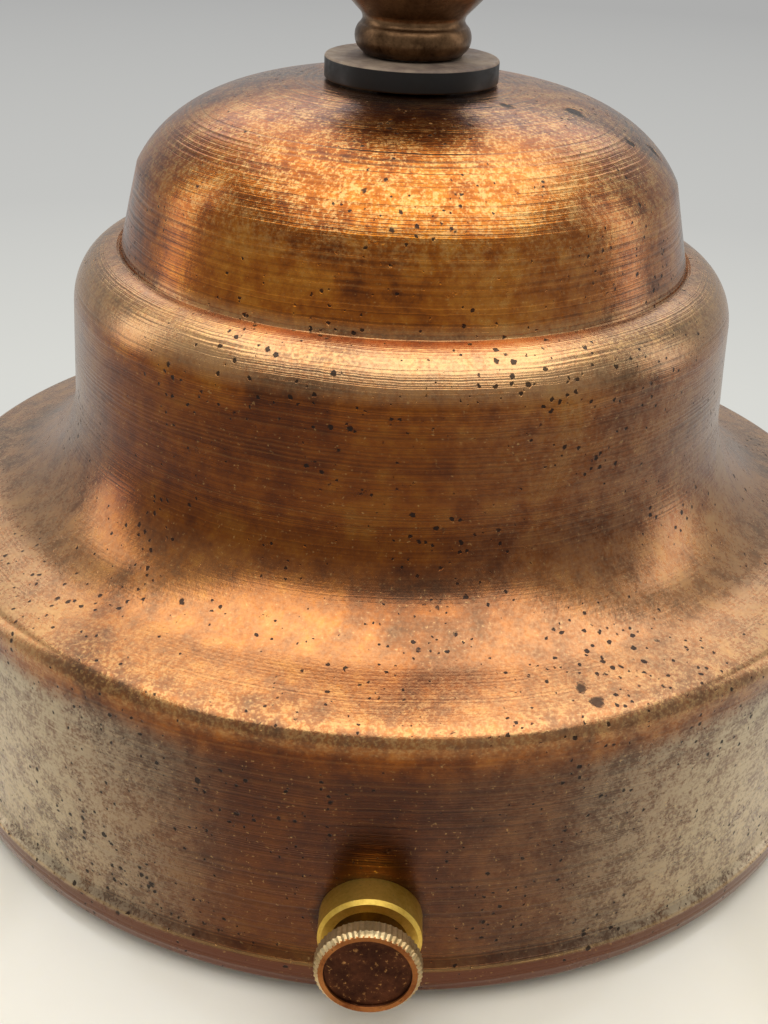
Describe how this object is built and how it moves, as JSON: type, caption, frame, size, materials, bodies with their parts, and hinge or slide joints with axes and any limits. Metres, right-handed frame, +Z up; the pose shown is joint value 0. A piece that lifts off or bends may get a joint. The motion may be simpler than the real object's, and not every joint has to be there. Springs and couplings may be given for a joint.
{
  "type": "pendant light",
  "caption": "Pendant light: a stepped spun-copper gallery clamps an opal glass shade with knurled thumbscrews, under a turned coupling and a hanging loop.",
  "frame": {"origin": "centre of the glass shade's open foot, on the surface that the lamp stands on", "axes": "+Z up along the lamp's axis to the hanging loop; -Y towards the front thumbscrew; +X to the right seen from the front"},
  "size_m": [0.25, 0.25, 0.2794],
  "materials": {
    "aged_copper": "spun copper with a mottled brown patina, semi-gloss",
    "bronzed_brass": "turned, dark bronzed",
    "brass": "turned brass, slightly tarnished",
    "thumbscrew_brass": "knurled, with a coppery brown patina",
    "steel": "zinc plated",
    "black_fibre": "satin black",
    "opal_glass": "glossy cream opal",
    "porcelain": "glazed white",
    "clear_glass": "clear",
    "tungsten": "dull grey wire"
  },
  "bodies": {
    "lamp": {"gallery_shell": "aged_copper", "glass_shade": "opal_glass", "inner_washer": "steel", "insulator_block": "porcelain", "lampholder_cap": "brass", "lampholder_skirt": "brass", "lock_nut": "brass", "retaining_ring": "brass", "screw_collar_front": "brass", "screw_collar_left": "brass", "screw_collar_right": "brass", "socket_shell": "brass", "spacer_disc": "black_fibre", "terminal_screw_1": "brass", "terminal_screw_2": "brass", "threaded_tube": "steel", "turned_coupling": "bronzed_brass"},
    "bulb": {"bulb_contact": "steel", "bulb_insulator": "black_fibre", "bulb_cap": "brass", "bulb_envelope": "clear_glass", "bulb_stem": "clear_glass", "bulb_filament": "tungsten"},
    "contact": {"contact_tongue": "brass"},
    "loop": {"hanging_loop": "bronzed_brass"},
    "screw_front": {"thumbscrew_front": "thumbscrew_brass"},
    "screw_right": {"thumbscrew_right": "thumbscrew_brass"},
    "screw_left": {"thumbscrew_left": "thumbscrew_brass"}
  },
  "joints": [
    {"name": "thumbscrew_front_out", "type": "slide", "parent": "lamp", "child": "screw_front", "axis": [0, -1, 0], "range_m": [0, 0.007]},
    {"name": "thumbscrew_right_out", "type": "slide", "parent": "lamp", "child": "screw_right", "axis": [0.866, 0.5, 0], "range_m": [0, 0.007]},
    {"name": "thumbscrew_left_out", "type": "slide", "parent": "lamp", "child": "screw_left", "axis": [-0.866, 0.5, 0], "range_m": [0, 0.007]},
    {"name": "bulb_unscrew", "type": "slide", "parent": "lamp", "child": "bulb", "axis": [0, 0, -1], "range_m": [0, 0.028]},
    {"name": "contact_spring", "type": "slide", "parent": "lamp", "child": "contact", "axis": [0, 0, 1], "range_m": [0, 0.001], "stiffness_N_per_m": 400},
    {"name": "loop_turn", "type": "hinge", "parent": "lamp", "child": "loop", "pos_m": [0, 0, 0.243], "axis": [0, 0, 1], "continuous": true}
  ]
}
